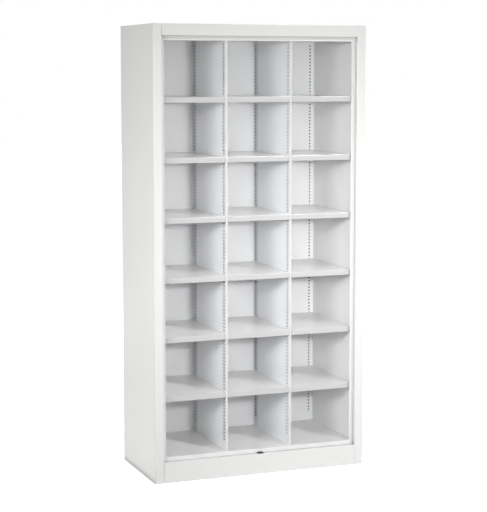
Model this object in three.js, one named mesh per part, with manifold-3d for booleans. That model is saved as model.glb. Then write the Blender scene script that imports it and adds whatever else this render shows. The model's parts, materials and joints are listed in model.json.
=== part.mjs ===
// Pigeonhole mail sorter: a folded steel cabinet with three columns of seven pigeonholes.
// Millimetres, +Z up, front towards -Y, origin on the ground under the middle of the cabinet.

import * as THREE from "three";
import { mergeVertices } from "three/addons/utils/BufferGeometryUtils.js";
import Module from "manifold-3d";

const wasm = await Module();
wasm.setup();

// Cabinet
const HEIGHT = 1950;
const WIDTH = 975;
const DEPTH = 460;

// Sheet steel
const SHEET = 1;
const BEND_RADIUS = 1.5;
const BEND_STEPS = 2;
const CLEARANCE = 0.3;

// Front frame, with a rebate that a pair of doors would close into
const POST_WIDTH = 40;
const REBATE_DEPTH = 22;
const SIDE_LIP = 16.5;
const HEADER_HEIGHT = 50;
const TOP_LIP = 19;
const PLINTH_HEIGHT = 90;
const FLOOR_LIP = 18;

// Hidden folds that stiffen the carcass
const REAR_FLANGE = 25;
const TOP_FLANGE = 24;
const TOP_FLANGE_INSET = 28;
const PLINTH_FOOT = 14;
const LEDGE_DEPTH = 40;
const LEDGE_DROP = 14;

// Inner walls
const LINER_SETBACK = 44;
const STRIP_WIDTH = 44;
const STRIP_TUCK = 20;
const STRIP_HOLE_INSET = 20;

// Columns and shelves
const COLUMNS = 3;
const DIVIDER_EDGE = 8;
const DIVIDER_FOOT = 12;
const DIVIDER_FOOT_INSET = 18;
const SHELF_ROWS = 6;
const FIRST_SHELF_RISE = 261;
const SHELF_SPACING = 255;
const SHELF_SETBACK = 32;
const SHELF_LIP = 24;
const SHELF_HEM = 12;
const SHELF_REAR_FLANGE = 14;
const SHELF_CLEARANCE = 1.6;

// Slots that take the shelf clips
const SLOTS_PER_SPACING = 13;
const SLOT_HEIGHT = 7;
const WIDE_SLOT = 26;
const WIDE_SLOT_INSET = 24;
const NARROW_SLOT = 11;
const NARROW_SLOT_INSET = 29;
const STRIP_HOLE_WIDTH = 8;
const FIRST_SLOT_RISE = 40;
const TOP_SLOT_MARGIN = 80;

// Shelf clips
const CLIP_REACH = 12;
const CLIP_WIDTH = 10;
const CLIP_HEIGHT = 3;
const REAR_CLIP_REACH = 9;

// Bolt socket in the ledge
const SOCKET_WIDTH = 25;
const SOCKET_LENGTH = 15;
const SOCKET_DEPTH = 14;
const SOCKET_WALL = 1.5;
const SOCKET_RIM = 1.2;
const SOCKET_NOTCH = 5.5;

// Levelling feet and their brackets
const BRACKET_PLATE = 3;
const BRACKET_BEND = 4;
const BRACKET_HEIGHT = 40;
const BRACKET_LEG = 36;
const BRACKET_LENGTH = 58;
const BRACKET_FRONT_INSET = 30;
const FOOT_FROM_SIDE = 30;
const WELD_NUT_RADIUS = 9;
const WELD_NUT_HEIGHT = 9;
const STUD_RADIUS = 5;
const STUD_ABOVE_NUT = 18;
const PAD_RADIUS = 18;
const PAD_HEIGHT = 8;
const PAD_TAPER = 4;
const HEX_RADIUS = 8;
const HEX_HEIGHT = 7;
const ROUND_SIDES = 12;
const HEX_SIDES = 6;

// Places worked out from the driving sizes
const halfWidth = WIDTH / 2;
const front = -DEPTH / 2;
const rear = DEPTH / 2;
const middle = SHEET / 2;
const wallInside = halfWidth - SHEET;
const postEdge = halfWidth - POST_WIDTH;
const lipEdge = postEdge - SIDE_LIP;
const lipFace = front + REBATE_DEPTH;
const insideFront = lipFace + SHEET + CLEARANCE;
const backFace = rear - SHEET - CLEARANCE - SHEET;
const insideRear = backFace - CLEARANCE;
const floorTop = PLINTH_HEIGHT + FLOOR_LIP;
const wallBottom = floorTop + CLEARANCE;
const wallTop = HEIGHT - SHEET - CLEARANCE;
const linerFace = halfWidth - LINER_SETBACK;
const stripFace = insideRear - SHEET;
const shelfFront = front + SHELF_SETBACK;
const shelfRear = stripFace - SHELF_CLEARANCE;
const columnWidth = (2 * linerFace - (COLUMNS - 1) * DIVIDER_EDGE) / COLUMNS;
const clipTop = -SHEET - CLEARANCE;
const rearClipTop = -SHELF_REAR_FLANGE - CLEARANCE;
const lowestShelf = floorTop + FIRST_SHELF_RISE;
const shelfTops = Array.from({ length: SHELF_ROWS }, (_, row) => lowestShelf + row * SHELF_SPACING);

// Finishes
const coatedSteel = new THREE.MeshStandardMaterial({ color: 0xe4e6e4, roughness: 0.42, metalness: 0 });
const zincSteel = new THREE.MeshStandardMaterial({ color: 0xb9bcbd, roughness: 0.38, metalness: 1 });
const blackPlastic = new THREE.MeshStandardMaterial({ color: 0x161718, roughness: 0.6, metalness: 0 });

// Turns a profile drawn as depth and height, extruded across the cabinet, into the cabinet's frame.
const ACROSS = new THREE.Matrix4().makeBasis(
  new THREE.Vector3(0, 1, 0),
  new THREE.Vector3(0, 0, 1),
  new THREE.Vector3(1, 0, 0),
);

// Turns a profile drawn as width and height, extruded from front to rear, into the cabinet's frame.
const ALONG = new THREE.Matrix4().makeBasis(
  new THREE.Vector3(1, 0, 0),
  new THREE.Vector3(0, 0, 1),
  new THREE.Vector3(0, -1, 0),
);

function solidOf(geometry) {
  const bare = geometry.clone();
  bare.deleteAttribute("normal");
  bare.deleteAttribute("uv");
  const merged = mergeVertices(bare);
  const mesh = new wasm.Mesh({
    numProp: 3,
    vertProperties: merged.attributes.position.array,
    triVerts: new Uint32Array(merged.index.array),
  });
  return new wasm.Manifold(mesh);
}

function geometryOf(solid) {
  const mesh = solid.getMesh();
  const geometry = new THREE.BufferGeometry();
  geometry.setAttribute("position", new THREE.BufferAttribute(mesh.vertProperties, 3));
  geometry.setIndex(new THREE.BufferAttribute(mesh.triVerts, 1));
  geometry.computeVertexNormals();
  return geometry;
}

function join(solids) {
  return solids.reduce((whole, piece) => whole.add(piece));
}

function cut(solid, cutters) {
  return cutters.length ? solid.subtract(join(cutters)) : solid;
}

// A block between two limits on each axis.
function block([x0, x1], [y0, y1], [z0, z1]) {
  const geometry = new THREE.BoxGeometry(Math.abs(x1 - x0), Math.abs(y1 - y0), Math.abs(z1 - z0));
  geometry.translate((x0 + x1) / 2, (y0 + y1) / 2, (z0 + z1) / 2);
  return solidOf(geometry);
}

// The middle line of a folded sheet, with a bend at each inner corner.
function bentLine(corners, radius) {
  const line = new THREE.Path();
  line.moveTo(corners[0].x, corners[0].y);
  for (let i = 1; i < corners.length - 1; i++) {
    const corner = corners[i];
    const into = corners[i - 1].clone().sub(corner).setLength(radius).add(corner);
    const out = corners[i + 1].clone().sub(corner).setLength(radius).add(corner);
    line.lineTo(into.x, into.y);
    line.quadraticCurveTo(corner.x, corner.y, out.x, out.y);
  }
  const last = corners.at(-1);
  line.lineTo(last.x, last.y);
  return line.getPoints(BEND_STEPS);
}

function leftOf(from, to) {
  const along = to.clone().sub(from).normalize();
  return new THREE.Vector2(-along.y, along.x);
}

// The same line moved sideways, mitred at its points.
function shifted(points, distance) {
  const last = points.length - 1;
  return points.map((point, i) => {
    const before = leftOf(points[Math.max(i, 1) - 1], points[Math.max(i, 1)]);
    const after = leftOf(points[Math.min(i, last - 1)], points[Math.min(i, last - 1) + 1]);
    const mitre = before.clone().add(after).normalize();
    return mitre.multiplyScalar(distance / mitre.dot(before)).add(point);
  });
}

// Outline of a sheet folded along a line of [x, y] corners, which run along the middle of the sheet.
function foldedSheet(corners, thickness = SHEET, radius = BEND_RADIUS) {
  const line = bentLine(corners.map(([x, y]) => new THREE.Vector2(x, y)), radius);
  const outside = shifted(line, thickness / 2);
  const inside = shifted(line, -thickness / 2);
  return new THREE.Shape([...outside, ...inside.reverse()]);
}

function extruded(shape, length) {
  return new THREE.ExtrudeGeometry(shape, { depth: length, bevelEnabled: false });
}

// A folded upright, drawn in plan.
function upright(corners, bottom, top) {
  return solidOf(extruded(foldedSheet(corners), top - bottom).translate(0, 0, bottom));
}

// A folded rail across the cabinet, drawn as depth and height.
function crossRail(corners, left, right) {
  const geometry = extruded(foldedSheet(corners), right - left);
  return solidOf(geometry.applyMatrix4(ACROSS).translate(left, 0, 0));
}

function mirrored(corners, side) {
  return corners.map(([x, y]) => [side * x, y]);
}

// Levels of one column of slots, at an even spacing up the wall, without those that hold a clip.
function slotLevels(clipLevel) {
  const spacing = SHELF_SPACING / SLOTS_PER_SPACING;
  const clipLevels = shelfTops.map((top) => top + clipLevel - CLIP_HEIGHT / 2);
  const below = Math.floor((clipLevels[0] - floorTop - FIRST_SLOT_RISE) / spacing);
  const bottom = clipLevels[0] - below * spacing;
  const count = Math.floor((HEIGHT - TOP_SLOT_MARGIN - bottom) / spacing) + 1;
  const levels = Array.from({ length: count }, (_, i) => bottom + i * spacing);
  return levels.filter((level) => clipLevels.every((held) => Math.abs(level - held) > spacing / 2));
}

function slotSpan(level) {
  return [level - SLOT_HEIGHT / 2, level + SLOT_HEIGHT / 2];
}

function clipSpan(shelfTop, clipLevel) {
  return [shelfTop + clipLevel - CLIP_HEIGHT, shelfTop + clipLevel];
}

function around(centre, width) {
  return [centre - width / 2, centre + width / 2];
}

// Side panel: lip, rebate, front post, side and rear flange in one sheet.
function sidePanel(side) {
  const corners = [
    [lipEdge, lipFace + middle],
    [postEdge + middle, lipFace + middle],
    [postEdge + middle, front + middle],
    [halfWidth - middle, front + middle],
    [halfWidth - middle, rear - middle],
    [halfWidth - REAR_FLANGE, rear - middle],
  ];
  const sheet = upright(mirrored(corners, side), 0, HEIGHT);
  const seatForTop = block(
    [0, side * wallInside],
    [front + SHEET, rear - SHEET],
    [wallTop, HEIGHT + SHEET],
  );
  return cut(sheet, [seatForTop]);
}

// Top panel: header, rebate and lip folded down in front, a deck between the sides, flanges round it.
function topPanel() {
  const headerEnd = postEdge - CLEARANCE;
  const rebateTop = HEIGHT - HEADER_HEIGHT;
  const corners = [
    [lipFace + middle, rebateTop - TOP_LIP],
    [lipFace + middle, rebateTop + middle],
    [front + middle, rebateTop + middle],
    [front + middle, HEIGHT - middle],
    [rear - middle, HEIGHT - middle],
    [rear - middle, HEIGHT - TOP_FLANGE],
  ];
  const sheet = crossRail(corners, -headerEnd, headerEnd);
  const deckEnd = wallInside - CLEARANCE;
  const deckDepth = [front + SHEET + CLEARANCE, rear - SHEET - CLEARANCE];
  const deck = block([-deckEnd, deckEnd], deckDepth, [HEIGHT - SHEET, HEIGHT]);
  const flangeDepth = [insideFront + TOP_FLANGE_INSET, insideRear - TOP_FLANGE_INSET];
  const flanges = [-1, 1].map((side) =>
    block([side * (deckEnd - SHEET), side * deckEnd], flangeDepth, [HEIGHT - TOP_FLANGE, HEIGHT]),
  );
  const roomForSideLips = [-1, 1].map((side) =>
    block(
      [side * (lipEdge - CLEARANCE), side * postEdge],
      [lipFace - CLEARANCE, insideFront],
      [rebateTop - TOP_LIP - SHEET, rebateTop + 2 * BEND_RADIUS],
    ),
  );
  return cut(join([sheet, deck, ...flanges]), roomForSideLips);
}

// Plinth: a front face between the posts, a foot along the ground and the ledge on top.
function plinth() {
  const end = postEdge - CLEARANCE;
  const ledgeEnd = front + LEDGE_DEPTH;
  const corners = [
    [front + PLINTH_FOOT, middle],
    [front + middle, middle],
    [front + middle, PLINTH_HEIGHT - middle],
    [ledgeEnd, PLINTH_HEIGHT - middle],
    [ledgeEnd, PLINTH_HEIGHT - LEDGE_DROP],
  ];
  const roomForSideLips = [-1, 1].map((side) =>
    block(
      [side * (lipEdge - CLEARANCE), side * postEdge],
      [lipFace - CLEARANCE, ledgeEnd + SHEET],
      [PLINTH_HEIGHT - LEDGE_DROP - SHEET, PLINTH_HEIGHT + SHEET],
    ),
  );
  const socketHole = block(
    around(0, SOCKET_WIDTH + 2 * CLEARANCE),
    around(socketCentre(), SOCKET_LENGTH + 2 * CLEARANCE),
    [PLINTH_HEIGHT - 2 * SHEET, PLINTH_HEIGHT + SHEET],
  );
  return cut(crossRail(corners, -end, end), [...roomForSideLips, socketHole]);
}

function socketCentre() {
  return (front + lipFace) / 2;
}

// Floor panel: the front lip stands on the ledge, and the deck runs out to the sides behind the lips.
function floorPanel() {
  const lipFoot = PLINTH_HEIGHT + CLEARANCE;
  const lipEnd = lipEdge - CLEARANCE;
  const deckEnd = wallInside - CLEARANCE;
  const corners = [
    [lipFace + middle, lipFoot],
    [lipFace + middle, floorTop - middle],
    [insideRear - middle, floorTop - middle],
    [insideRear - middle, lipFoot],
  ];
  const sheet = crossRail(corners, -lipEnd, lipEnd);
  const deck = block([-deckEnd, deckEnd], [insideFront, insideRear], [floorTop - SHEET, floorTop]);
  const flanges = [-1, 1].map((side) =>
    block([side * (deckEnd - SHEET), side * deckEnd], [insideFront, insideRear], [lipFoot, floorTop]),
  );
  const socketNotch = block(
    around(0, SOCKET_WIDTH + 2 * SOCKET_RIM),
    [lipFace - SHEET, lipFace + 2 * SHEET],
    [PLINTH_HEIGHT, PLINTH_HEIGHT + SOCKET_NOTCH],
  );
  return cut(join([sheet, deck, ...flanges]), [socketNotch]);
}

// Back panel: a flat sheet in front of the rear flanges, with its foot just off the ground.
function backPanel() {
  const end = wallInside - CLEARANCE;
  return block([-end, end], [backFace, backFace + SHEET], [CLEARANCE, wallTop]);
}

// Liner: the inner wall of an outer column, turned out behind the front post.
function liner(side) {
  const corners = [
    [wallInside - CLEARANCE, insideFront + middle],
    [linerFace + middle, insideFront + middle],
    [linerFace + middle, stripFace - CLEARANCE],
  ];
  const sheet = upright(mirrored(corners, side), wallBottom, wallTop);
  const clips = shelfTops.map((top) =>
    block(
      [side * (linerFace - CLIP_REACH), side * (linerFace + middle)],
      around(shelfFront + WIDE_SLOT_INSET, CLIP_WIDTH),
      clipSpan(top, clipTop),
    ),
  );
  return join([sheet, ...clips]);
}

// Perforated strip in a rear corner, with the clips that carry the shelves' rear flanges.
function rearStrip(side) {
  const depth = [stripFace, insideRear];
  const reach = [side * (linerFace - STRIP_WIDTH), side * (linerFace + STRIP_TUCK)];
  const sheet = block(reach, depth, [wallBottom, wallTop]);
  const holeColumn = side * (linerFace - STRIP_HOLE_INSET);
  const holes = slotLevels(rearClipTop).map((level) =>
    block(around(holeColumn, STRIP_HOLE_WIDTH), [stripFace - SHEET, insideRear + SHEET], slotSpan(level)),
  );
  const clips = shelfTops.map((top) =>
    block(
      around(holeColumn, CLIP_WIDTH),
      [stripFace - REAR_CLIP_REACH, stripFace + middle],
      clipSpan(top, rearClipTop),
    ),
  );
  return join([cut(sheet, holes), ...clips]);
}

// Divider, drawn about its own middle: a perforated web with its edges folded to one side,
// wide slots along the first edge and narrow ones along the other.
const dividerLength = insideRear - shelfFront;

function divider() {
  const halfEdge = DIVIDER_EDGE / 2;
  const start = -dividerLength / 2;
  const end = dividerLength / 2;
  const corners = [
    [halfEdge, start + middle],
    [-halfEdge + middle, start + middle],
    [-halfEdge + middle, end - middle],
    [halfEdge, end - middle],
  ];
  const web = upright(corners, wallBottom, wallTop);
  const footDepth = [start + DIVIDER_FOOT_INSET, end - DIVIDER_FOOT_INSET];
  const footWidth = [-halfEdge, -halfEdge + DIVIDER_FOOT];
  const feet = [
    block(footWidth, footDepth, [wallBottom, wallBottom + SHEET]),
    block(footWidth, footDepth, [wallTop - SHEET, wallTop]),
  ];
  const slotDepths = [
    around(start + WIDE_SLOT_INSET, WIDE_SLOT),
    around(end - NARROW_SLOT_INSET, NARROW_SLOT),
  ];
  const clipDepths = [
    around(start + WIDE_SLOT_INSET, CLIP_WIDTH),
    around(end - NARROW_SLOT_INSET, CLIP_WIDTH),
  ];
  const slots = slotLevels(clipTop).flatMap((level) =>
    slotDepths.map((depth) => block(around(middle - halfEdge, 2 * SHEET), depth, slotSpan(level))),
  );
  const clipEnds = around(0, DIVIDER_EDGE + 2 * CLIP_REACH);
  const clips = shelfTops.flatMap((top) =>
    clipDepths.map((depth) => block(clipEnds, depth, clipSpan(top, clipTop))),
  );
  return join([cut(join([web, ...feet]), slots), ...clips]);
}

// Dividers left of the middle fold towards the right, and the others are turned end for end.
function dividerTurned(index) {
  return index >= (COLUMNS - 1) / 2;
}

function dividerCentre(index) {
  return -linerFace + (index + 1) * (columnWidth + DIVIDER_EDGE) - DIVIDER_EDGE / 2;
}

// Left and right limits of a column between its dividers' edges.
function columnLimits(column) {
  const left = -linerFace + column * (columnWidth + DIVIDER_EDGE);
  return [left, left + columnWidth];
}

// Shelf with its deck at height 0: a hemmed front lip, a deck and a rear flange.
function shelf(column) {
  const [left, right] = columnLimits(column);
  const corners = [
    [shelfFront + SHELF_HEM, -SHELF_LIP + middle],
    [shelfFront + middle, -SHELF_LIP + middle],
    [shelfFront + middle, -middle],
    [shelfRear - middle, -middle],
    [shelfRear - middle, -SHELF_REAR_FLANGE],
  ];
  return crossRail(corners, left + SHELF_CLEARANCE, right - SHELF_CLEARANCE);
}

// Bolt socket: a moulded cup with a rim that lies on the ledge.
function boltSocket() {
  const rimBottom = PLINTH_HEIGHT + CLEARANCE;
  const rimTop = rimBottom + SOCKET_RIM;
  const cup = block(
    around(0, SOCKET_WIDTH),
    around(socketCentre(), SOCKET_LENGTH),
    [rimTop - SOCKET_DEPTH, rimTop],
  );
  const rim = block(
    around(0, SOCKET_WIDTH + 2 * SOCKET_RIM),
    around(socketCentre(), SOCKET_LENGTH + 2 * SOCKET_RIM),
    [rimBottom, rimTop],
  );
  const hollow = block(
    around(0, SOCKET_WIDTH - 2 * SOCKET_WALL),
    around(socketCentre(), SOCKET_LENGTH - 2 * SOCKET_WALL),
    [rimTop - SOCKET_DEPTH + SOCKET_WALL, rimTop + SOCKET_WALL],
  );
  return cut(join([cup, rim]), [hollow]);
}

function roundBar(radius, bottom, top, sides) {
  const geometry = new THREE.CylinderGeometry(radius, radius, top - bottom, sides);
  return solidOf(geometry.rotateX(Math.PI / 2).translate(0, 0, (bottom + top) / 2));
}

// Base bracket about the foot's axis: an angle against the side panel, with a weld nut on its plate.
function baseBracket(side) {
  const toWall = FOOT_FROM_SIDE - SHEET - CLEARANCE;
  const plateMiddle = BRACKET_HEIGHT + BRACKET_PLATE / 2;
  const corners = [
    [toWall - BRACKET_PLATE / 2, BRACKET_HEIGHT + BRACKET_LEG],
    [toWall - BRACKET_PLATE / 2, plateMiddle],
    [-BRACKET_LENGTH / 2 + CLEARANCE, plateMiddle],
  ];
  const outline = foldedSheet(mirrored(corners, side), BRACKET_PLATE, BRACKET_BEND);
  const angle = extruded(outline, BRACKET_LENGTH).applyMatrix4(ALONG).translate(0, BRACKET_LENGTH / 2, 0);
  const plateTop = BRACKET_HEIGHT + BRACKET_PLATE;
  const nut = roundBar(WELD_NUT_RADIUS, plateTop - middle, plateTop + WELD_NUT_HEIGHT, HEX_SIDES);
  const boreRadius = (STUD_RADIUS + CLEARANCE) / Math.cos(Math.PI / ROUND_SIDES);
  const bore = roundBar(boreRadius, BRACKET_HEIGHT - SHEET, plateTop + WELD_NUT_HEIGHT + SHEET, ROUND_SIDES);
  return cut(join([solidOf(angle), nut]), [bore]);
}

// Levelling foot about its own axis: a tapered pad, a hexagon for the spanner and a stud.
function levellingFoot() {
  const studTop = BRACKET_HEIGHT + BRACKET_PLATE + WELD_NUT_HEIGHT + STUD_ABOVE_NUT;
  const profile = [
    new THREE.Vector2(0, 0),
    new THREE.Vector2(PAD_RADIUS, 0),
    new THREE.Vector2(PAD_RADIUS, PAD_HEIGHT - PAD_TAPER),
    new THREE.Vector2(PAD_RADIUS - PAD_TAPER, PAD_HEIGHT),
    new THREE.Vector2(STUD_RADIUS, PAD_HEIGHT),
    new THREE.Vector2(STUD_RADIUS, studTop),
    new THREE.Vector2(0, studTop),
  ];
  const turned = new THREE.LatheGeometry(profile, ROUND_SIDES).rotateX(Math.PI / 2);
  const hexagon = roundBar(HEX_RADIUS, PAD_HEIGHT - middle, PAD_HEIGHT + HEX_HEIGHT, HEX_SIDES);
  return join([solidOf(turned), hexagon]);
}

function meshOf(name, solid, material) {
  const mesh = new THREE.Mesh(geometryOf(solid), material);
  mesh.name = name;
  return mesh;
}

const sides = [
  { name: "left", side: -1 },
  { name: "right", side: 1 },
];

function carcass() {
  const group = new THREE.Group();
  for (const { name, side } of sides) {
    group.add(meshOf(`${name}_side_panel`, sidePanel(side), coatedSteel));
  }
  group.add(meshOf("top_panel", topPanel(), coatedSteel));
  group.add(meshOf("plinth", plinth(), coatedSteel));
  group.add(meshOf("floor_panel", floorPanel(), coatedSteel));
  group.add(meshOf("back_panel", backPanel(), coatedSteel));
  group.add(meshOf("bolt_socket", boltSocket(), blackPlastic));
  return group;
}

function innerWalls() {
  const group = new THREE.Group();
  for (const { name, side } of sides) {
    group.add(meshOf(`${name}_liner`, liner(side), coatedSteel));
    group.add(meshOf(`${name}_rear_strip`, rearStrip(side), coatedSteel));
  }
  for (let index = 0; index < COLUMNS - 1; index++) {
    const panel = meshOf(`divider_${index + 1}`, divider(), coatedSteel);
    panel.position.set(dividerCentre(index), (shelfFront + insideRear) / 2, 0);
    panel.rotation.z = dividerTurned(index) ? Math.PI : 0;
    group.add(panel);
  }
  return group;
}

// Rows are numbered from the top, columns from the left.
function shelves() {
  const group = new THREE.Group();
  for (let column = 0; column < COLUMNS; column++) {
    for (let row = 0; row < SHELF_ROWS; row++) {
      const board = meshOf(`shelf_col${column + 1}_row${row + 1}`, shelf(column), coatedSteel);
      board.position.z = shelfTops[SHELF_ROWS - 1 - row];
      group.add(board);
    }
  }
  return group;
}

function base() {
  const group = new THREE.Group();
  const ends = [
    { name: "front", y: insideFront + BRACKET_FRONT_INSET },
    { name: "rear", y: insideRear - BRACKET_FRONT_INSET },
  ];
  for (const { name, side } of sides) {
    for (const end of ends) {
      const corner = new THREE.Group();
      corner.position.set(side * (halfWidth - FOOT_FROM_SIDE), end.y, 0);
      corner.add(meshOf(`base_bracket_${end.name}_${name}`, baseBracket(side), zincSteel));
      corner.add(meshOf(`levelling_foot_${end.name}_${name}`, levellingFoot(), zincSteel));
      group.add(corner);
    }
  }
  return group;
}

const sorter = new THREE.Group();
sorter.add(carcass(), innerWalls(), shelves(), base());

export default sorter;
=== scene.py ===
"""Pigeonhole mail sorter: finishes, fine pieces, studio and camera.

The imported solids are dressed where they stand. Pieces that are finer than the solids are built here: the
perforated walls, the shelf clips, the rivets of the back panel and the turned feet. Lengths are in metres,
+Z is up and the open front faces -Y.
"""

import json
import logging
import math
from dataclasses import dataclass, field
from enum import Enum

import bmesh
import bpy
from mathutils import Matrix, Vector

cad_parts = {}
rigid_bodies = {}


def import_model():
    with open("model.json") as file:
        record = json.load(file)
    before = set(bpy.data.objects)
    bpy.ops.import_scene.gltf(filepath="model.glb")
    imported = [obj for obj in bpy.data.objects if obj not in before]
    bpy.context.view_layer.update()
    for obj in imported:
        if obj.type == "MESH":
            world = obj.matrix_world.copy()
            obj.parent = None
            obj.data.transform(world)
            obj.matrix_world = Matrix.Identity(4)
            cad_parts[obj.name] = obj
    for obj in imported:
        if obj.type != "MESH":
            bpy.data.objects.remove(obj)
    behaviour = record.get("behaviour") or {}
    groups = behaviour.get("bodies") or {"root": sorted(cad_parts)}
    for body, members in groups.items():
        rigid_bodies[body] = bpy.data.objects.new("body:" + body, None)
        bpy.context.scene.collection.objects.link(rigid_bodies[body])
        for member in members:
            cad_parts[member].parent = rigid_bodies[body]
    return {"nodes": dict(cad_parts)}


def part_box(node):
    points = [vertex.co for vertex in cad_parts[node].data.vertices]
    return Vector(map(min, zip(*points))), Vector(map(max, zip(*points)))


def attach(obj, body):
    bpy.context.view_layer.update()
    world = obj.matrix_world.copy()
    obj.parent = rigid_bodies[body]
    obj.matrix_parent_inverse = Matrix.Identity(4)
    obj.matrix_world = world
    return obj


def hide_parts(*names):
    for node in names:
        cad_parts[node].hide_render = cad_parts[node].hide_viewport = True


LOG = logging.getLogger("mail_sorter")
IMAGE_HEIGHT = 512
CABINET = "cabinet"
ENDS = ("front", "rear")
COLUMNS = 3

LOWEST_SHELF = 0.369
SHELF_SPACING = 0.255
SHELF_ROWS = 6
SHELF_TOPS = tuple(LOWEST_SHELF + SHELF_SPACING * row for row in range(SHELF_ROWS))

EDGE_WIDTH = 0.0003
EDGE_SEGMENTS = 2
SHARP_ANGLE_DEG = 30.0
WELD_GAP = 0.00001
HIDDEN_SIDE = 1

FLOAT, COLOUR, VECTOR = "NodeSocketFloat", "NodeSocketColor", "NodeSocketVector"

Colour = tuple[float, float, float]
Place = tuple[float, float, float]
Points = list[tuple[float, float]]
Shares = tuple[tuple[float, float], ...]
Socket = bpy.types.NodeSocket


class Slot(Enum):
    """The record's material slots that the pieces built here take."""

    POWDER_COAT = "powder_coat"
    ZINC_PLATE = "zinc_plate"


class Finish(Enum):
    """The finishes that the sorter wears, and the near-black painted shade inside its walls."""

    OUTER_COAT = "outer_coat"
    INNER_COAT = "inner_coat"
    SHELF_COAT = "shelf_coat"
    FLOOR_COAT = "floor_coat"
    DIVIDER_COAT = "divider_coat"
    LINER_COAT = "liner_coat"
    ZINC = "zinc_plate"
    MOULDING = "black_plastic"
    BARE = "bare_steel"


class Side(Enum):
    """The two sides of the cabinet, with the sign of their x."""

    LEFT = -1
    RIGHT = 1

    @property
    def word(self) -> str:
        """The side's name in the nodes."""
        return self.name.lower()


# Node trees


class NodeSheet:
    """Places nodes in a tree and joins their sockets."""

    def __init__(self, tree: bpy.types.NodeTree) -> None:
        """Starts on the node tree to fill."""
        self.tree = tree

    def add(self, kind: str, **settings: object) -> bpy.types.Node:
        """Adds a node.

        Args:
            kind: The node's type name.
            settings: Properties of the node, such as operation.

        Returns:
            The new node.
        """
        node = self.tree.nodes.new(kind)
        for name, value in settings.items():
            setattr(node, name, value)
        return node

    def join(self, source: Socket, target: Socket) -> None:
        """Joins an output to an input."""
        self.tree.links.new(source, target)

    def feed(self, value: object, target: Socket) -> None:
        """Gives an input its value.

        Args:
            value: A socket to join, a colour or a number.
            target: The input.
        """
        if isinstance(value, Socket):
            self.join(value, target)
        elif isinstance(value, tuple):
            target.default_value = (*value, 1.0)
        else:
            target.default_value = value

    def math(self, operation: str, first: object, second: object) -> Socket:
        """Adds a math node.

        Args:
            operation: The node's operation.
            first: A socket or a number.
            second: A socket or a number.

        Returns:
            The node's output.
        """
        node = self.add("ShaderNodeMath", operation=operation)
        self.feed(first, node.inputs[0])
        self.feed(second, node.inputs[1])
        return node.outputs[0]

    def blend(self, share: Socket, low: Socket, high: Socket) -> Socket:
        """Mixes two colours.

        Args:
            share: How much of the second colour shows.
            low: The first colour.
            high: The second colour.

        Returns:
            The mixed colour.
        """
        node = self.add("ShaderNodeMix", data_type="RGBA")
        self.join(share, node.inputs["Factor"])
        self.join(low, node.inputs["A"])
        self.join(high, node.inputs["B"])
        return node.outputs["Result"]

    def ramp(
        self, value: Socket, low: object, high: object, least: float = 0.0, kind: str = "SMOOTHSTEP"
    ) -> Socket:
        """Raises a value to 1 between two limits.

        Args:
            value: The value.
            low: Where the rise starts, as a socket or a number.
            high: Where it ends, as a socket or a number.
            least: What stands before the rise.
            kind: The shape of the rise.

        Returns:
            The risen value.
        """
        node = self.add("ShaderNodeMapRange", interpolation_type=kind)
        limits = {"Value": value, "From Min": low, "From Max": high, "To Min": least}
        for label, limit in limits.items():
            self.feed(limit, node.inputs[label])
        return node.outputs[0]

    def axis(self, vector: Socket, name: str) -> Socket:
        """Takes one axis of a vector.

        Args:
            vector: The vector.
            name: The axis, as a capital letter.

        Returns:
            The vector's part along it.
        """
        parts = self.add("ShaderNodeSeparateXYZ")
        self.join(vector, parts.inputs[0])
        return parts.outputs[name]

    def facing(self, name: str, sign: float) -> Socket:
        """How far a face looks one way along an axis: 1 straight along it, and 0 aside or back."""
        normal = self.add("ShaderNodeNewGeometry").outputs["Normal"]
        return self.math("MAXIMUM", self.math("MULTIPLY", self.axis(normal, name), sign), 0.0)

    def noise(self, place: Socket, scale: object, detail: float) -> Socket:
        """Adds a cloudy texture.

        Args:
            place: Where it is read.
            scale: Its waves per metre, as a socket or a number.
            detail: How much finer structure it has.

        Returns:
            The texture's value.
        """
        node = self.add("ShaderNodeTexNoise")
        self.join(place, node.inputs["Vector"])
        self.feed(scale, node.inputs["Scale"])
        self.feed(detail, node.inputs["Detail"])
        return node.outputs[0]


class SurfaceGroup:
    """A shared surface effect, kept as one node group that reads a place."""

    def __init__(self, name: str, inputs: dict[str, str], outputs: dict[str, str]) -> None:
        """Makes the empty group.

        Args:
            name: The group's name.
            inputs: Socket types by input name, beside the place.
            outputs: Socket types by output name.
        """
        self.tree = bpy.data.node_groups.new(name, "ShaderNodeTree")
        for label, kind in {"Place": VECTOR, **inputs}.items():
            self.tree.interface.new_socket(label, in_out="INPUT", socket_type=kind)
        for label, kind in outputs.items():
            self.tree.interface.new_socket(label, in_out="OUTPUT", socket_type=kind)
        self.sheet = NodeSheet(self.tree)
        self.given = self.sheet.add("NodeGroupInput").outputs
        self.result = self.sheet.add("NodeGroupOutput").inputs

    def colour(self, share: Socket, first: str, second: str) -> bpy.types.NodeTree:
        """Ends the group with a mix of two of its colours.

        Args:
            share: How much of the second colour shows.
            first: The name of the first colour's input.
            second: The name of the second colour's input.

        Returns:
            The finished group.
        """
        mixed = self.sheet.blend(share, self.given[first], self.given[second])
        self.sheet.join(mixed, self.result["Color"])
        return self.tree


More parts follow.
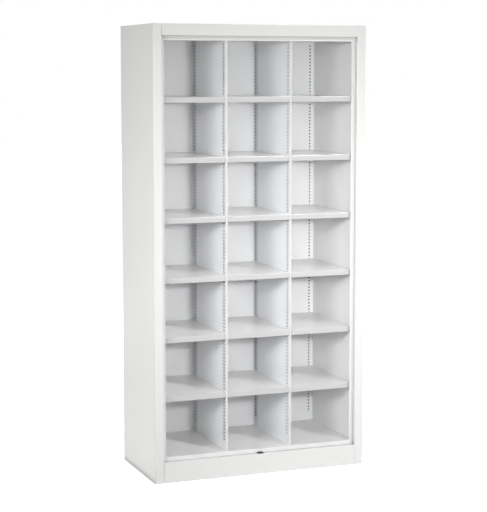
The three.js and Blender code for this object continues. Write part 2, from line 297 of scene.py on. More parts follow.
@dataclass
class SharedEffects:
    """The node groups that several finishes use."""

    peel_detail: float = 1.5
    cloud_detail: float = 2.0
    cloud_range: tuple[float, float] = (0.3, 0.7)
    film_gain: float = 3.0
    fold_samples: int = 8
    streak_least: float = 1.2
    streak_swing: float = 0.4
    speck_scale: float = 35.0
    speck_detail: float = 5.0
    speck_dulling: float = 0.4

    def __post_init__(self) -> None:
        """Makes each group once."""
        self.orange_peel = self._orange_peel()
        self.tone = self._tone()
        self.film = self._film()
        self.folds = self._folds()
        self.band = self._band()
        self.dust = self._dust()

    def _orange_peel(self) -> bpy.types.NodeTree:
        """The fine waves of a sprayed or moulded skin.

        Returns:
            A group from a wave count per metre to a height.
        """
        group = SurfaceGroup("orange_peel", {"Waves": FLOAT}, {"Height": FLOAT})
        height = group.sheet.noise(group.given["Place"], group.given["Waves"], self.peel_detail)
        group.sheet.join(height, group.result["Height"])
        return group.tree

    def _tone(self) -> bpy.types.NodeTree:
        """The slow drift of a finish over a large sheet.

        Returns:
            A group from two colours to a colour.
        """
        inputs = {"Patches": FLOAT, "First": COLOUR, "Second": COLOUR}
        group = SurfaceGroup("tone_drift", inputs, {"Color": COLOUR})
        clouds = group.sheet.noise(group.given["Place"], group.given["Patches"], self.cloud_detail)
        share = group.sheet.ramp(clouds, *self.cloud_range, kind="LINEAR")
        return group.colour(share, "First", "Second")

    def _film(self) -> bpy.types.NodeTree:
        """Painted shade on the faces and rounded edges that look to the open front.

        Returns:
            A group from a colour, the painted shade's colour and the depth before which it lies, to the
            shaded colour.
        """
        inputs = {"Color": COLOUR, "Film": COLOUR, "Depth": FLOAT}
        group = SurfaceGroup("handled_front", inputs, {"Color": COLOUR})
        sheet = group.sheet
        # Painted shade: faces that look to the front, in front of the given depth, take the darker colour.
        near = sheet.math("LESS_THAN", sheet.axis(group.given["Place"], "Y"), group.given["Depth"])
        forward = sheet.math("MULTIPLY", sheet.facing("Y", -1.0), self.film_gain)
        share = sheet.math("MULTIPLY", sheet.math("MINIMUM", forward, 1.0), near)
        return group.colour(share, "Color", "Film")

    def _folds(self) -> bpy.types.NodeTree:
        """Painted shade in folds, rebates and corners, where ambient occlusion finds the surface closed in.

        Returns:
            A group from a colour, the painted shade's colour, its reach and its streaks to the shaded
            colour.
        """
        inputs = {"Color": COLOUR, "Fold": COLOUR, "Reach": FLOAT, "Streaks": FLOAT}
        group = SurfaceGroup("folds", inputs, {"Color": COLOUR})
        sheet = group.sheet
        # Painted shade: darker where ambient occlusion finds the surface closed in, streaked, and not on
        # faces that look to the front.
        open_sky = sheet.add("ShaderNodeAmbientOcclusion", samples=self.fold_samples)
        sheet.join(group.given["Reach"], open_sky.inputs["Distance"])
        closed = sheet.math("SUBTRACT", 1.0, open_sky.outputs["AO"])
        streaks = sheet.noise(group.given["Place"], group.given["Streaks"], self.cloud_detail)
        swing = sheet.math("MULTIPLY", streaks, self.streak_swing)
        uneven = sheet.math("MULTIPLY", closed, sheet.math("ADD", swing, self.streak_least))
        aside = sheet.math("SUBTRACT", 1.0, sheet.facing("Y", -1.0))
        share = sheet.math("MULTIPLY", sheet.math("MINIMUM", uneven, 1.0), aside)
        return group.colour(share, "Color", "Fold")

    def _band(self) -> bpy.types.NodeTree:
        """The change from one tone to another along the depth of a wall.

        Returns:
            A group from two colours and where the second starts and is full, to the colour.
        """
        inputs = {"Color": COLOUR, "Band": COLOUR, "Start": FLOAT, "Full": FLOAT}
        group = SurfaceGroup("rear_band", inputs, {"Color": COLOUR})
        depth = group.sheet.axis(group.given["Place"], "Y")
        share = group.sheet.ramp(depth, group.given["Start"], group.given["Full"])
        return group.colour(share, "Color", "Band")

    def _dust(self) -> bpy.types.NodeTree:
        """A trace of dust on faces that look up, which dulls them.

        Returns:
            A group from a colour and a gloss to the dusty colour and roughness.
        """
        inputs = {"Color": COLOUR, "Dust": COLOUR, "Amount": FLOAT, "Clean": FLOAT, "Dull": FLOAT}
        group = SurfaceGroup("settled_dust", inputs, {"Color": COLOUR, "Roughness": FLOAT})
        sheet = group.sheet
        specks = sheet.noise(group.given["Place"], self.speck_scale, self.speck_detail)
        lying = sheet.math("MULTIPLY", sheet.facing("Z", 1.0), specks)
        share = sheet.math("MULTIPLY", lying, group.given["Amount"])
        loss = sheet.math("SUBTRACT", group.given["Dull"], group.given["Clean"])
        patchy = sheet.math("MULTIPLY", specks, self.speck_dulling)
        dulled = sheet.math("MULTIPLY", loss, sheet.math("ADD", share, patchy))
        sheet.join(sheet.math("ADD", group.given["Clean"], dulled), group.result["Roughness"])
        return group.colour(share, "Color", "Dust")


# Finishes


class Surface:
    """A material in the making: a Principled shader, the object's own coordinates and the shared groups."""

    def __init__(self, name: str) -> None:
        """Makes the material.

        Args:
            name: The material's name.
        """
        self.material = bpy.data.materials.new(name)
        self.material.use_nodes = True
        self.sheet = NodeSheet(self.material.node_tree)
        self.material.node_tree.nodes.clear()
        self.shader = self.sheet.add("ShaderNodeBsdfPrincipled")
        end = self.sheet.add("ShaderNodeOutputMaterial")
        self.sheet.join(self.shader.outputs[0], end.inputs["Surface"])
        self.place = self.sheet.add("ShaderNodeTexCoord").outputs["Object"]

    def effect(self, tree: bpy.types.NodeTree, **values: object) -> bpy.types.bpy_prop_collection:
        """Puts a shared group into the material.

        Args:
            tree: The group.
            values: Numbers, colours or sockets by input name.

        Returns:
            The group's outputs.
        """
        node = self.sheet.add("ShaderNodeGroup", node_tree=tree)
        self.sheet.join(self.place, node.inputs["Place"])
        for label, value in values.items():
            self.sheet.feed(value, node.inputs[label])
        return node.outputs

    def bump(self, height: Socket, depth: float, strength: float) -> None:
        """Raises the surface by a height.

        Args:
            height: The height, from 0 to 1.
            depth: The height's real size.
            strength: The share of it that shows.
        """
        node = self.sheet.add("ShaderNodeBump")
        self.sheet.feed(strength, node.inputs["Strength"])
        self.sheet.feed(depth, node.inputs["Distance"])
        self.sheet.join(height, node.inputs["Height"])
        self.give("Normal", node.outputs[0])

    def give(self, label: str, value: object) -> None:
        """Gives an input of the shader a socket or a number."""
        self.sheet.feed(value, self.shader.inputs[label])


@dataclass(frozen=True)
class SurfaceFinish:
    """A finish that drifts between two tones, dulls under dust where it looks up and has a fine relief."""

    finish: Finish
    colour: Colour
    drift: Colour
    dust: Colour
    patches: float
    dust_amount: float
    gloss: float
    dull: float
    waves: float = 0.0
    wave_depth: float = 0.0
    relief: float = 0.0
    metallic: float = 0.0

    def material(self, effects: SharedEffects) -> bpy.types.Material:
        """Builds the finish.

        Args:
            effects: The shared groups.

        Returns:
            The material.
        """
        surface = Surface(self.finish.value)
        tone = surface.effect(effects.tone, Patches=self.patches, First=self.colour, Second=self.drift)
        dusty = surface.effect(
            effects.dust,
            Color=self.marked(surface, effects, tone["Color"]),
            Dust=self.dust,
            Amount=self.dust_amount,
            Clean=self.gloss,
            Dull=self.dull,
        )
        surface.give("Base Color", dusty["Color"])
        surface.give("Roughness", dusty["Roughness"])
        surface.give("Metallic", self.metallic)
        if self.relief:
            skin = surface.effect(effects.orange_peel, Waves=self.waves)
            surface.bump(skin["Height"], self.wave_depth, self.relief)
        return surface.material

    def marked(self, surface: Surface, effects: SharedEffects, tone: Socket) -> Socket:
        """Lays painted shade, painted light and rear tones over the finish's tone, of which a plain finish
        has none.
        """
        return tone


@dataclass(frozen=True)
class PowderCoat(SurfaceFinish):
    """Satin powder coat on steel with a fine orange peel, and painted shade on the faces at the open front.
    """

    finish: Finish = Finish.INNER_COAT
    colour: Colour = (0.922, 0.926, 0.934)
    drift: Colour = (0.910, 0.914, 0.922)
    dust: Colour = (0.770, 0.765, 0.755)
    patches: float = 2.2
    dust_amount: float = 0.10
    gloss: float = 0.20
    dull: float = 0.36
    waves: float = 520.0
    wave_depth: float = 0.00006
    relief: float = 0.6
    # Painted shade on the faces that look to the open front.
    film: Colour = (0.680, 0.680, 0.680)
    film_depth: float = -0.190

    def marked(self, surface: Surface, effects: SharedEffects, tone: Socket) -> Socket:
        """Lays the painted shade of the front faces over the coat's tone."""
        return surface.effect(effects.film, Color=tone, Film=self.film, Depth=self.film_depth)["Color"]


@dataclass(frozen=True)
class OuterCoat(PowderCoat):
    """The coat of the carcass, with painted shade in its folds, rebates and corners."""

    finish: Finish = Finish.OUTER_COAT
    colour: Colour = (0.855, 0.855, 0.835)
    drift: Colour = (0.840, 0.840, 0.822)
    # Painted shade on the front faces, and in folds, rebates and corners.
    film: Colour = (0.650, 0.650, 0.640)
    fold: Colour = (0.220, 0.220, 0.225)
    fold_reach: float = 0.030
    streaks: float = 9.0

    def marked(self, surface: Surface, effects: SharedEffects, tone: Socket) -> Socket:
        """Adds the painted corner shade over the painted front shade.

        Args:
            surface: The material in the making.
            effects: The shared groups.
            tone: The coat's colour.

        Returns:
            The marked colour.
        """
        front_shaded = super().marked(surface, effects, tone)
        shade_inputs = {"Fold": self.fold, "Reach": self.fold_reach, "Streaks": self.streaks}
        return surface.effect(effects.folds, Color=front_shaded, **shade_inputs)["Color"]


@dataclass(frozen=True)
class BandedCoat(PowderCoat):
    """The coat of the upright walls, which has another tone toward the rear: a darker rear strip on the
    dividers, and painted light on the liners, which are lighter toward the rear and darker at the front.
    """

    band: Colour = (0.740, 0.745, 0.755)
    band_start: float = 0.175
    band_full: float = 0.178

    def marked(self, surface: Surface, effects: SharedEffects, tone: Socket) -> Socket:
        """Adds the rear part's tone over the painted front shade.

        Args:
            surface: The material in the making.
            effects: The shared groups.
            tone: The coat's colour.

        Returns:
            The marked colour.
        """
        front_shaded = super().marked(surface, effects, tone)
        limits = {"Start": self.band_start, "Full": self.band_full}
        return surface.effect(effects.band, Color=front_shaded, Band=self.band, **limits)["Color"]


@dataclass(frozen=True)
class ZincPlate(SurfaceFinish):
    """Bright zinc plate, with the faint cloudiness of the bath."""

    finish: Finish = Finish.ZINC
    colour: Colour = (0.72, 0.73, 0.74)
    drift: Colour = (0.62, 0.64, 0.66)
    dust: Colour = (0.50, 0.49, 0.47)
    patches: float = 90.0
    dust_amount: float = 0.15
    gloss: float = 0.26
    dull: float = 0.50
    waves: float = 900.0
    wave_depth: float = 0.00003
    relief: float = 0.5
    metallic: float = 1.0


@dataclass(frozen=True)
class BlackMoulding(SurfaceFinish):
    """Black moulded plastic with a spark-eroded grain."""

    finish: Finish = Finish.MOULDING
    colour: Colour = (0.018, 0.018, 0.020)
    drift: Colour = (0.030, 0.030, 0.031)
    dust: Colour = (0.20, 0.20, 0.19)
    patches: float = 160.0
    dust_amount: float = 0.06
    gloss: float = 0.45
    dull: float = 0.70
    waves: float = 1600.0
    wave_depth: float = 0.00008
    relief: float = 0.7


@dataclass(frozen=True)
class BareSteel(SurfaceFinish):
    """The inside of the folded walls and the sheet behind the holes: near-black painted shade, with painted
    light toward the front.
    """

    finish: Finish = Finish.BARE
    # Painted shade: near black, standing for the shade inside the walls and behind the holes.
    colour: Colour = (0.100, 0.100, 0.104)
    drift: Colour = (0.080, 0.078, 0.077)
    dust: Colour = (0.22, 0.21, 0.20)
    patches: float = 25.0
    dust_amount: float = 0.10
    gloss: float = 0.50
    dull: float = 0.75
    # Painted light: lighter toward the front, where more light comes in through the slots.
    stray_coat: Colour = (0.330, 0.330, 0.335)
    stray_full: float = -0.100
    stray_end: float = 0.050

    def marked(self, surface: Surface, effects: SharedEffects, tone: Socket) -> Socket:
        """Lays the painted front light over the painted shade's tone."""
        limits = {"Start": self.stray_full, "Full": self.stray_end}
        return surface.effect(effects.band, Color=self.stray_coat, Band=tone, **limits)["Color"]


# These are all one white powder coat. The inner and divider coats are painted lighter and cooler, as
# painted light and cool shade inside the pigeonholes; the outer coat is painted darker and warmer, as
# painted shade on the brightly lit carcass.
SORTER_FINISHES: tuple[SurfaceFinish, ...] = (
    OuterCoat(),
    PowderCoat(),
    PowderCoat(
        finish=Finish.SHELF_COAT,
        colour=(0.840, 0.836, 0.835),
        drift=(0.827, 0.823, 0.822),
        # Painted shade on the shelves' front lips, darker, which also hides the highlight on their rounded
        # edges.
        film=(0.465, 0.466, 0.470),
    ),
    PowderCoat(
        finish=Finish.FLOOR_COAT,
        colour=(0.820, 0.817, 0.817),
        drift=(0.807, 0.804, 0.804),
    ),
    BandedCoat(
        finish=Finish.DIVIDER_COAT,
        colour=(0.915, 0.926, 0.940),
        drift=(0.903, 0.914, 0.928),
        # Painted shade on the dividers' front edges.
        film=(0.590, 0.590, 0.590),
    ),
    BandedCoat(
        finish=Finish.LINER_COAT,
        colour=(0.820, 0.820, 0.820),
        drift=(0.807, 0.807, 0.807),
        # Painted light: the liners are lighter toward the rear and darker at the front.
        band=(0.940, 0.940, 0.940),
        band_start=-0.200,
        band_full=0.150,
    ),
    ZincPlate(),
    BlackMoulding(),
    BareSteel(),
)


class Finishes:
    """The materials of the sorter."""

    def __init__(self) -> None:
        """Makes the shared groups and the materials."""
        effects = SharedEffects()
        self.materials = {each.finish: each.material(effects) for each in SORTER_FINISHES}

    def dress(self, piece: bpy.types.Object, finish: Finish) -> None:
        """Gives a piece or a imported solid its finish.

        Args:
            piece: The object to dress.
            finish: Its finish.
        """
        if not piece.material_slots:
            piece.data.materials.append(None)
        for place in piece.material_slots:
            place.material = self.materials[finish]

    def dress_wall(self, wall: bpy.types.Object, finish: Finish) -> None:
        """Gives a folded wall its coat outside, and near-black painted shade inside in the second material
        slot.
        """
        wall.data.materials.append(self.materials[finish])
        wall.data.materials.append(self.materials[Finish.BARE])


# Mesh helpers


def new_piece(mesh: bmesh.types.BMesh, name: str, body: str) -> bpy.types.Object:
    """Turns a finished mesh into a piece that moves with a body.

    Args:
        mesh: The mesh, in the cabinet's frame. It is freed.
        name: The piece's name.
        body: The body that it moves with.

    Returns:
        The new object.
    """
    data = bpy.data.meshes.new(name)
    mesh.to_mesh(data)
    mesh.free()
    piece = bpy.data.objects.new(name, data)
    bpy.context.scene.collection.objects.link(piece)
    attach(piece, body)
    return piece


def soften_edges(piece: bpy.types.Object) -> None:
    """Rounds the sharp edges of a piece a little, so that they catch the light.

    Args:
        piece: The object to soften.
    """
    weld = piece.modifiers.new("joined_faces", "WELD")
    weld.merge_threshold = WELD_GAP
    bevel = piece.modifiers.new("soft_edges", "BEVEL")
    bevel.width = EDGE_WIDTH
    bevel.segments = EDGE_SEGMENTS
    bevel.limit_method = "ANGLE"
    bevel.angle_limit = math.radians(SHARP_ANGLE_DEG)
    bevel.use_clamp_overlap = True
    bevel.harden_normals = False


def arc(middle: Vector, start: Vector, turn: float, steps: int) -> list[Vector]:
    """The points of an arc in plan, with both ends, from a start through a turn in radians."""
    arm = start - middle
    return [middle + Matrix.Rotation(turn * i / steps, 2) @ arm for i in range(steps + 1)]


def turned_shape(mesh: bmesh.types.BMesh, profile: Points, place: Matrix, steps: int) -> None:
    """Adds a shape turned about its own Z axis.

    Args:
        mesh: The mesh to add to.
        profile: Radius and height of each ring. A radius of 0 closes an end.
        place: Where the shape goes.
        steps: How many sides it has.
    """
    rings: list[list[bmesh.types.BMVert]] = []
    for radius, height in profile:
        count = steps if radius > 0 else 1
        angles = (2 * math.pi * i / count for i in range(count))
        points = (Vector((radius * math.cos(a), radius * math.sin(a), height)) for a in angles)
        rings.append([mesh.verts.new(place @ point) for point in points])
    for lower, upper in zip(rings, rings[1:]):
        for i in range(steps):
            j = (i + 1) % steps
            corners = [lower[i % len(lower)], lower[j % len(lower)]]
            corners += [upper[j % len(upper)], upper[i % len(upper)]]
            unique = list(dict.fromkeys(corners))
            if len(unique) > 2:
                mesh.faces.new(unique)


def extruded_shape(mesh: bmesh.types.BMesh, outline: Points, depth: float, place: Matrix) -> None:
    """Adds a closed shape with a flat outline.

    Args:
        mesh: The mesh to add to.
        outline: The outline's points in x and z, anticlockwise seen against +Y.
        depth: Its length along +Y, half to each side.
        place: Where the shape goes.
    """
    near = [mesh.verts.new(place @ Vector((x, -depth / 2, z))) for x, z in outline]
    far = [mesh.verts.new(place @ Vector((x, depth / 2, z))) for x, z in outline]
    mesh.faces.new(near)
    mesh.faces.new(far[::-1])
    for i in range(len(outline)):
        j = (i + 1) % len(outline)
        mesh.faces.new((near[j], near[i], far[i], far[j]))


def give_thickness(piece: bpy.types.Object, thickness: float) -> None:
    """Makes a skin into a sheet, half to each side, whose hidden side takes the second material.

    Args:
        piece: The skin, with its normals towards the side that shows.
        thickness: The sheet's thickness.
    """
    solidify = piece.modifiers.new("sheet", "SOLIDIFY")
    solidify.thickness = thickness
    solidify.offset = 0.0
    solidify.use_even_offset = True
    solidify.material_offset = HIDDEN_SIDE


# Perforated walls


@dataclass(frozen=True)
class WallPlaces:
    """The places of the inner walls, which their sheets and their clips share."""

    bottom: float = 0.1083
    top: float = 1.9487
    front: float = -0.198
    rear: float = 0.2274
    divider_x: float = 0.149167
    edge: float = 0.008
    wide_inset: float = 0.024
    narrow_inset: float = 0.029
    strip_face: float = 0.2264
    strip_wall: float = 0.4435
    hole_inset: float = 0.020

    @property
    def middle_depth(self) -> float:
        """The y of the dividers' middle."""
        return (self.front + self.rear) / 2

    @property
    def half_depth(self) -> float:
        """How far the dividers reach from their middle."""
        return (self.rear - self.front) / 2

    @property
    def hole_x(self) -> float:
        """The x of the right rear strip's holes."""
        return self.strip_wall - self.hole_inset


WALLS = WallPlaces()


@dataclass(frozen=True)
class Station:
    """A point of a sheet's line in plan, with the width of the slots between it and the next point."""

    place: Vector
    slot_width: float = 0.0


@dataclass(frozen=True)
class Row:
    """A band of a sheet between two heights, which a slot may open."""

    bottom: float
    top: float
    open: bool


@dataclass
class Perforation:
    """Evenly spaced slots with round corners, in step with the shelf levels."""

    pitch: float = 0.015
    slot_height: float = 0.0068
    corner_share: float = 0.8
    corner_steps: int = 3
    lowest: float = 0.148
    highest: float = 1.872

    def rows(self, level: float) -> list[Row]:
        """The bands of a wall.

        Args:
            level: A height that a slot's middle falls on.

        Returns:
            The bands from the foot up.
        """
        first = level - self.pitch * math.floor((level - self.lowest) / self.pitch)
        count = math.floor((self.highest - first) / self.pitch) + 1
        edges = [first + (i - 0.5) * self.pitch for i in range(count + 1)]
        slots = [Row(low, high, True) for low, high in zip(edges, edges[1:])]
        return [Row(WALLS.bottom, edges[0], False), *slots, Row(edges[-1], WALLS.top, False)]

    def sheet(self, mesh: bmesh.types.BMesh, stations: list[Station], rows: list[Row]) -> None:
        """Adds a perforated sheet as a skin along its middle.

        Args:
            mesh: The mesh to add to.
            stations: The sheet's line in plan.
            rows: Its bands.
        """
        heights = [row.bottom for row in rows] + [rows[-1].top]
        grid = [[mesh.verts.new((*s.place, z)) for z in heights] for s in stations]
        for i, station in enumerate(stations[:-1]):
            for j, row in enumerate(rows):
                corners = [grid[i][j], grid[i + 1][j], grid[i + 1][j + 1], grid[i][j + 1]]
                if station.slot_width and row.open:
                    self._slotted_cell(mesh, corners, station.slot_width)
                else:
                    mesh.faces.new(corners)

    def _slotted_cell(
        self, mesh: bmesh.types.BMesh, corners: list[bmesh.types.BMVert], width: float
    ) -> None:
        """Fills a cell of the sheet with faces round a slot.

        Args:
            mesh: The mesh to add to.
            corners: The cell's corners, anticlockwise from the lower left.
            width: The slot's width.
        """
        middle = sum((v.co for v in corners), Vector()) / len(corners)
        along = (corners[1].co - corners[0].co).normalized()
        up = Vector((0, 0, 1))
        radius = self.corner_share * self.slot_height / 2
        aside, above = along * (width / 2 - radius), up * (self.slot_height / 2 - radius)
        arcs: list[list[bmesh.types.BMVert]] = []
        for k, (right, high) in enumerate(((-1, -1), (1, -1), (1, 1), (-1, 1))):
            centre = middle + aside * right + above * high
            start = math.pi * (1 + k / 2)
            angles = [start + math.pi / 2 * i / self.corner_steps for i in range(self.corner_steps + 1)]
            points = [centre + radius * (along * math.cos(a) + up * math.sin(a)) for a in angles]
            arcs.append([mesh.verts.new(p) for p in points])
        for k, corner in enumerate(corners):
            for first, second in zip(arcs[k], arcs[k][1:]):
                mesh.faces.new((corner, second, first))
            after = (k + 1) % len(corners)
            mesh.faces.new((corner, corners[after], arcs[after][0], arcs[k][-1]))


@dataclass
class Divider:
    """A perforated upright of two skins, with wide slots along one edge and narrow ones along the other."""

    node: str
    middle_x: float
    turned: bool
    sheet: float = 0.001
    bend: float = 0.0015
    bend_steps: int = 4
    wide_slot: float = 0.026
    narrow_slot: float = 0.014
    slot_margin: float = 0.002
    foot: float = 0.012
    foot_inset: float = 0.018
    clip_level: float = -0.0028

    def build(self, perforation: Perforation, finishes: Finishes) -> bpy.types.Object:
        """Builds the divider's two skins.

        Args:
            perforation: The slots.
            finishes: The materials.

        Returns:
            The piece.
        """
        rows = perforation.rows(SHELF_TOPS[0] + self.clip_level)
        mesh = bmesh.new()
        perforation.sheet(mesh, self._folded_skin(), rows)
        bmesh.ops.reverse_faces(mesh, faces=mesh.faces)
        perforation.sheet(mesh, self._cover_skin(), rows)
        self._feet(mesh)
        spin = Matrix.Rotation(math.pi if self.turned else 0.0, 4, "Z")
        move = Matrix.Translation((self.middle_x, WALLS.middle_depth, 0))
        bmesh.ops.transform(mesh, matrix=move @ spin, verts=mesh.verts)
        piece = new_piece(mesh, f"{self.node}_sheet", CABINET)
        give_thickness(piece, self.sheet)
        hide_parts(self.node)
        finishes.dress_wall(piece, Finish.DIVIDER_COAT)
        return piece

    def slot_depths(self) -> list[float]:
        """The y of the wide slots and of the narrow ones in the cabinet."""
        turn = -1 if self.turned else 1
        return [WALLS.middle_depth + turn * line for line in self._slot_lines()]

    def _slot_lines(self) -> tuple[float, float]:
        """The y of the wide slots and of the narrow ones about the divider's middle, before its turn."""
        return -WALLS.half_depth + WALLS.wide_inset, WALLS.half_depth - WALLS.narrow_inset

    def _slotted_line(self, x: float) -> list[Station]:
        """The flat part of a skin, with its two columns of slots.

        Args:
            x: The skin's place across the divider.

        Returns:
            The four stations beside the slots, from front to rear.
        """
        stations = []
        for line, width in zip(self._slot_lines(), (self.wide_slot, self.narrow_slot)):
            reach = width / 2 + self.slot_margin
            stations += [Station(Vector((x, line - reach)), width), Station(Vector((x, line + reach)))]
        return stations

    def _folded_skin(self) -> list[Station]:
        """The skin whose edges are folded round the divider's front and rear.

        Returns:
            Its line in plan about the divider's middle.
        """
        web = -WALLS.edge / 2 + self.sheet / 2
        end = WALLS.half_depth - self.sheet / 2
        near_fold = Vector((web + self.bend, -end + self.bend))
        far_fold = Vector((web + self.bend, end - self.bend))
        near = arc(near_fold, Vector((web + self.bend, -end)), -math.pi / 2, self.bend_steps)
        far = arc(far_fold, Vector((web, end - self.bend)), -math.pi / 2, self.bend_steps)
        return [
            Station(Vector((WALLS.edge / 2, -end))),
            *(Station(point) for point in near),
            *self._slotted_line(web),
            *(Station(point) for point in far),
            Station(Vector((WALLS.edge / 2, end))),
        ]

    def _cover_skin(self) -> list[Station]:
        """The flat skin that closes the open side.

        Returns:
            Its line in plan about the divider's middle.
        """
        x = WALLS.edge / 2 - self.sheet / 2
        end = WALLS.half_depth - self.sheet
        return [Station(Vector((x, -end))), *self._slotted_line(x), Station(Vector((x, end)))]

    def _feet(self, mesh: bmesh.types.BMesh) -> None:
        """Adds the tabs at the foot and the top that hold the divider.

        Args:
            mesh: The divider's skins.
        """
        reach = WALLS.half_depth - self.foot_inset
        left = WALLS.edge / 2
        right = -WALLS.edge / 2 + self.foot
        for height in (WALLS.bottom + self.sheet / 2, WALLS.top - self.sheet / 2):
            corners = ((left, -reach), (right, -reach), (right, reach), (left, reach))
            mesh.faces.new([mesh.verts.new((x, y, height)) for x, y in corners])


DIVIDERS = (Divider("divider_1", -WALLS.divider_x, False), Divider("divider_2", WALLS.divider_x, True))


@dataclass
class RearStrip:
    """A perforated strip in a rear corner, with a sheet of painted shade behind its holes."""

    side: Side
    width: float = 0.044
    tuck: float = 0.020
    hole_width: float = 0.008
    hole_margin: float = 0.002
    sheet: float = 0.0005
    backing: float = 0.00085
    clip_level: float = -0.0158

    def build(self, perforation: Perforation, finishes: Finishes) -> bpy.types.Object:
        """Builds the strip.

        Args:
            perforation: The holes.
            finishes: The materials.

        Returns:
            The piece.
        """
        sign = self.side.value
        reach = self.hole_width / 2 + self.hole_margin
        line = [
            (WALLS.strip_wall - self.width, 0.0),
            (WALLS.hole_x - reach, self.hole_width),
            (WALLS.hole_x + reach, 0.0),
            (WALLS.strip_wall + self.tuck, 0.0),
        ]
        middle = WALLS.strip_face + self.sheet / 2
        stations = [Station(Vector((x, middle)), width) for x, width in line]
        mesh = bmesh.new()
        perforation.sheet(mesh, stations, perforation.rows(SHELF_TOPS[0] + self.clip_level))
        self._backing(mesh, reach)
        bmesh.ops.transform(mesh, matrix=Matrix.Diagonal((sign, 1, 1, 1)), verts=mesh.verts)
        if sign < 0:
            bmesh.ops.reverse_faces(mesh, faces=mesh.faces)
        piece = new_piece(mesh, f"{self.side.word}_rear_strip_sheet", CABINET)
        give_thickness(piece, self.sheet)
        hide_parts(f"{self.side.word}_rear_strip")
        finishes.dress_wall(piece, Finish.INNER_COAT)
        return piece

    def _backing(self, mesh: bmesh.types.BMesh, reach: float) -> None:
        """Adds the near-black sheet of painted shade behind the holes.

        Args:
            mesh: The strip's skin.
            reach: Half the width of the backing.
        """
        # Painted shade: a near-black sheet behind the holes stands for the shade behind the strip.
        depth = WALLS.strip_face + self.backing
        left, right = WALLS.hole_x - reach, WALLS.hole_x + reach
        corners = ((left, WALLS.bottom), (right, WALLS.bottom), (right, WALLS.top), (left, WALLS.top))
        face = mesh.faces.new([mesh.verts.new((x, depth, z)) for x, z in corners])
        face.material_index = HIDDEN_SIDE


@dataclass
class InnerWalls:
    """The perforated walls of the pigeonholes."""

    perforation: Perforation = field(default_factory=Perforation)

    def build(self, finishes: Finishes) -> list[bpy.types.Object]:
        """Builds the dividers and the rear strips."""
        walls: list[Divider | RearStrip] = [*DIVIDERS, *(RearStrip(side) for side in Side)]
        return [wall.build(self.perforation, finishes) for wall in walls]


# Shelf clips


@dataclass
class ShelfClips:
    """Pressed zinc clips: a tongue under the shelf and a leg that hooks over the edge of a slot."""

    width: float = 0.010
    plate: float = 0.0018
    leg: float = 0.0075
    top: float = -0.0013
    reach: float = 0.012
    rear_top: float = -0.0143
    rear_reach: float = 0.009

    def build(self, finishes: Finishes) -> list[bpy.types.Object]:
        """Builds the clips of the dividers and the rear strips.

        Args:
            finishes: The materials.

        Returns:
            One piece for each wall.
        """
        pieces = [self._on_divider(divider, finishes) for divider in DIVIDERS]
        pieces += [self._on_strip(side, finishes) for side in Side]
        return pieces

    def _outline(self, reach: float) -> Points:
        """The side view of a clip that reaches along +X from a face at x 0.

        Args:
            reach: How far the tongue reaches.

        Returns:
            The outline's points.
        """
        plate, leg, nose = self.plate, self.leg, self.plate / 3
        return [
            (0.0, 0.0),
            (0.0, -leg),
            (plate, -leg),
            (plate, -2 * plate),
            (2 * plate, -plate),
            (reach - nose, -plate),
            (reach, -plate + nose),
            (reach, -nose),
            (reach - nose, 0.0),
        ]

    def _finished(self, mesh: bmesh.types.BMesh, name: str, finishes: Finishes) -> bpy.types.Object:
        """Makes clips into a dressed piece.

        Args:
            mesh: The clips.
            name: The piece's name.
            finishes: The materials.

        Returns:
            The piece.
        """
        bmesh.ops.recalc_face_normals(mesh, faces=mesh.faces)
        piece = new_piece(mesh, name, CABINET)
        soften_edges(piece)
        finishes.dress(piece, Finish.ZINC)
        return piece

    def _on_divider(self, divider: Divider, finishes: Finishes) -> bpy.types.Object:
        """Builds the clips of a divider, which reach out on both of its sides.

        Args:
            divider: The divider.
            finishes: The materials.

        Returns:
            The piece.
        """
        mesh = bmesh.new()
        for shelf_top in SHELF_TOPS:
            for depth in divider.slot_depths():
                for sign in (-1, 1):
                    face = divider.middle_x + sign * WALLS.edge / 2
                    place = Matrix.Translation((face, depth, shelf_top + self.top))
                    flip = Matrix.Diagonal((sign, 1, 1, 1))
                    extruded_shape(mesh, self._outline(self.reach), self.width, place @ flip)
        return self._finished(mesh, f"{divider.node}_clips", finishes)

    def _on_strip(self, side: Side, finishes: Finishes) -> bpy.types.Object:
        """Builds the clips of a rear strip, which reach forward under the shelves' rear flanges.

        Args:
            side: The strip's side.
            finishes: The materials.

        Returns:
            The piece.
        """
        mesh = bmesh.new()
        forward = Matrix.Rotation(-math.pi / 2, 4, "Z")
        for shelf_top in SHELF_TOPS:
            spot = (side.value * WALLS.hole_x, WALLS.strip_face, shelf_top + self.rear_top)
            place = Matrix.Translation(spot) @ forward
            extruded_shape(mesh, self._outline(self.rear_reach), self.width, place)
        return self._finished(mesh, f"{side.word}_strip_clips", finishes)


# Rivets of the back panel


